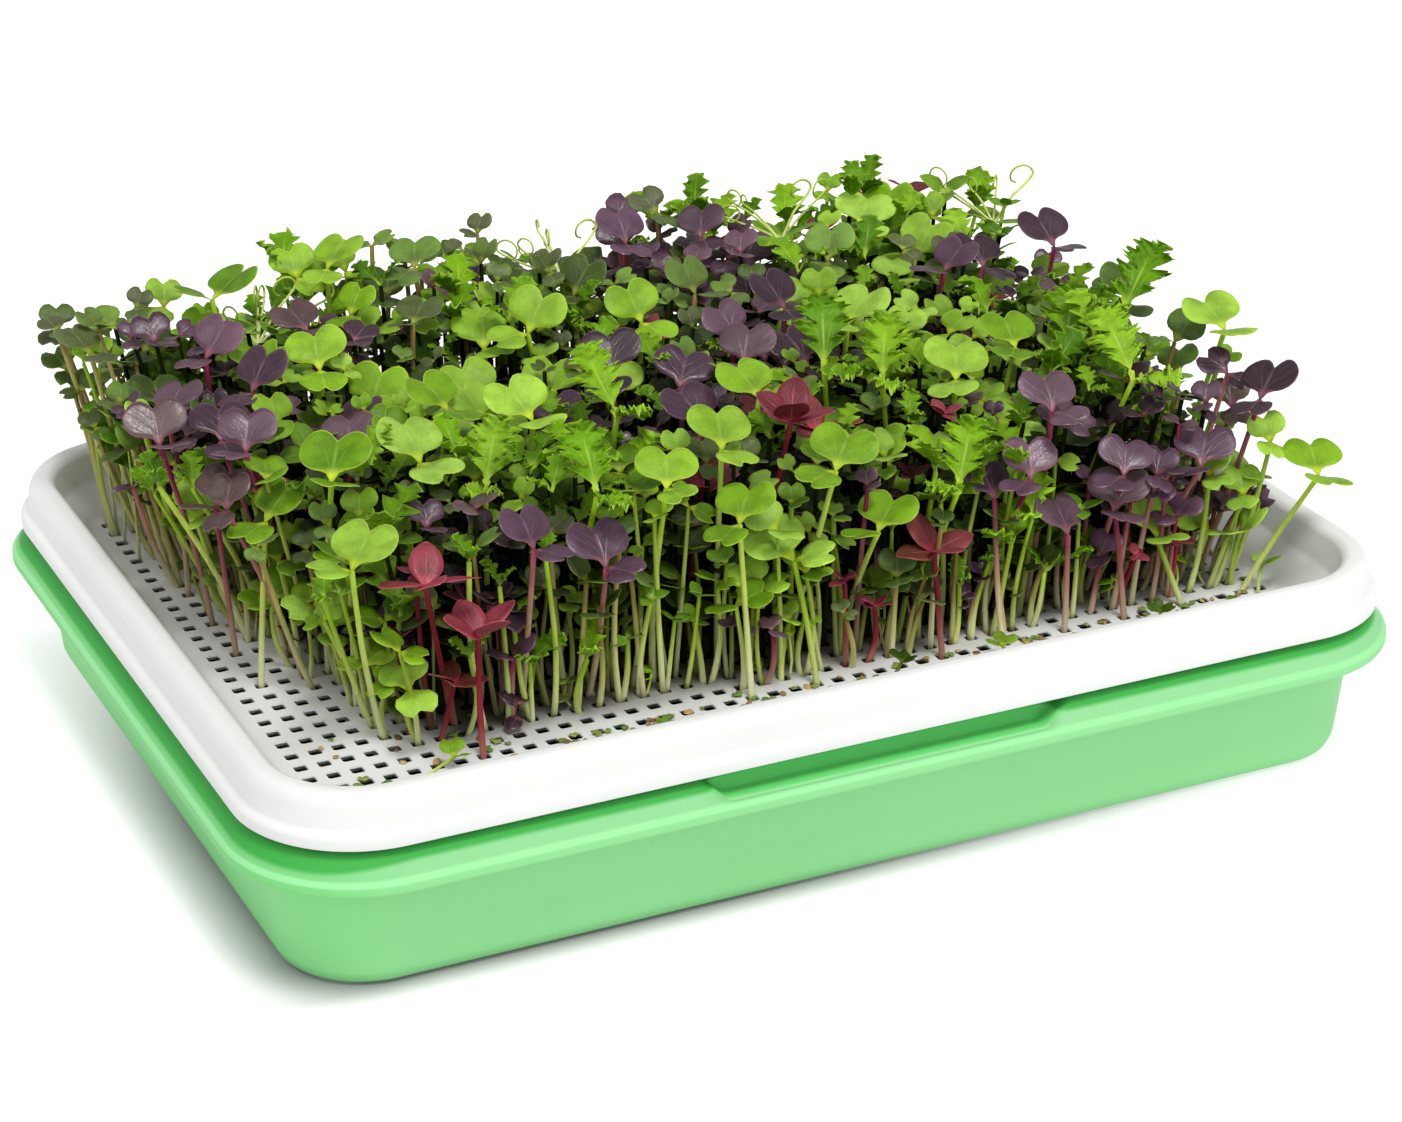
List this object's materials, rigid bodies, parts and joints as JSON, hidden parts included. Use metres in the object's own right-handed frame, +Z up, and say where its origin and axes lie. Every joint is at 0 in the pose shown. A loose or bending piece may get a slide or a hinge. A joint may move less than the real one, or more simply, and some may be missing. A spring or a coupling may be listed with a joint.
{
  "type": "microgreens tray",
  "caption": "Seed sprouting tray: a perforated white grow tray rests in a green water tray and carries a dense stand of mixed microgreens on upright stems.",
  "frame": {"origin": "centre of the water tray's flat underside", "axes": "+X along the long side, +Y along the short side away from the near long side, +Z up"},
  "size_m": [0.34, 0.26, 0.1224],
  "materials": {
    "green_plastic": "satin moulded polypropylene",
    "white_plastic": "satin moulded polypropylene",
    "bright_leaf": "smooth seed leaf, soft sheen, lit through",
    "purple_leaf": "smooth grey-purple seed leaf, soft sheen",
    "dark_leaf": "smooth deep green seed leaf, soft sheen",
    "frilled_leaf": "frilled first leaf, soft sheen",
    "crimson_leaf": "crimson pointed leaf, soft sheen",
    "pea_leaf": "pale green leaf and tendril, soft sheen"
  },
  "bodies": {
    "root": {"water_tray": "green_plastic", "grow_tray": "white_plastic", "bright_radish_01": "bright_leaf", "bright_radish_02": "bright_leaf", "bright_radish_03": "bright_leaf", "bright_radish_04": "bright_leaf", "bright_radish_05": "bright_leaf", "bright_radish_06": "bright_leaf", "bright_radish_07": "bright_leaf", "bright_radish_08": "bright_leaf", "bright_radish_09": "bright_leaf", "bright_radish_10": "bright_leaf", "bright_radish_11": "bright_leaf", "bright_radish_12": "bright_leaf", "bright_radish_13": "bright_leaf", "bright_radish_14": "bright_leaf", "bright_radish_15": "bright_leaf", "bright_radish_16": "bright_leaf", "bright_radish_17": "bright_leaf", "bright_radish_18": "bright_leaf", "purple_radish_01": "purple_leaf", "purple_radish_02": "purple_leaf", "purple_radish_03": "purple_leaf", "purple_radish_04": "purple_leaf", "purple_radish_05": "purple_leaf", "purple_radish_06": "purple_leaf", "purple_radish_07": "purple_leaf", "purple_radish_08": "purple_leaf", "purple_radish_09": "purple_leaf", "purple_radish_10": "purple_leaf", "purple_radish_11": "purple_leaf", "purple_radish_12": "purple_leaf", "purple_radish_13": "purple_leaf", "purple_radish_14": "purple_leaf", "purple_radish_15": "purple_leaf", "purple_radish_16": "purple_leaf", "purple_radish_17": "purple_leaf", "mizuna_01": "frilled_leaf", "mizuna_02": "frilled_leaf", "mizuna_03": "frilled_leaf", "mizuna_04": "frilled_leaf", "mizuna_05": "frilled_leaf", "mizuna_06": "frilled_leaf", "amaranth_01": "crimson_leaf", "amaranth_02": "crimson_leaf", "amaranth_03": "crimson_leaf", "dark_radish_01": "dark_leaf", "dark_radish_02": "dark_leaf", "dark_radish_03": "dark_leaf", "dark_radish_04": "dark_leaf", "dark_radish_05": "dark_leaf", "dark_radish_06": "dark_leaf", "dark_radish_07": "dark_leaf", "dark_radish_08": "dark_leaf", "pea_shoot_01": "pea_leaf", "pea_shoot_02": "pea_leaf", "pea_shoot_03": "pea_leaf", "pea_shoot_04": "pea_leaf"}
  },
  "joints": []
}
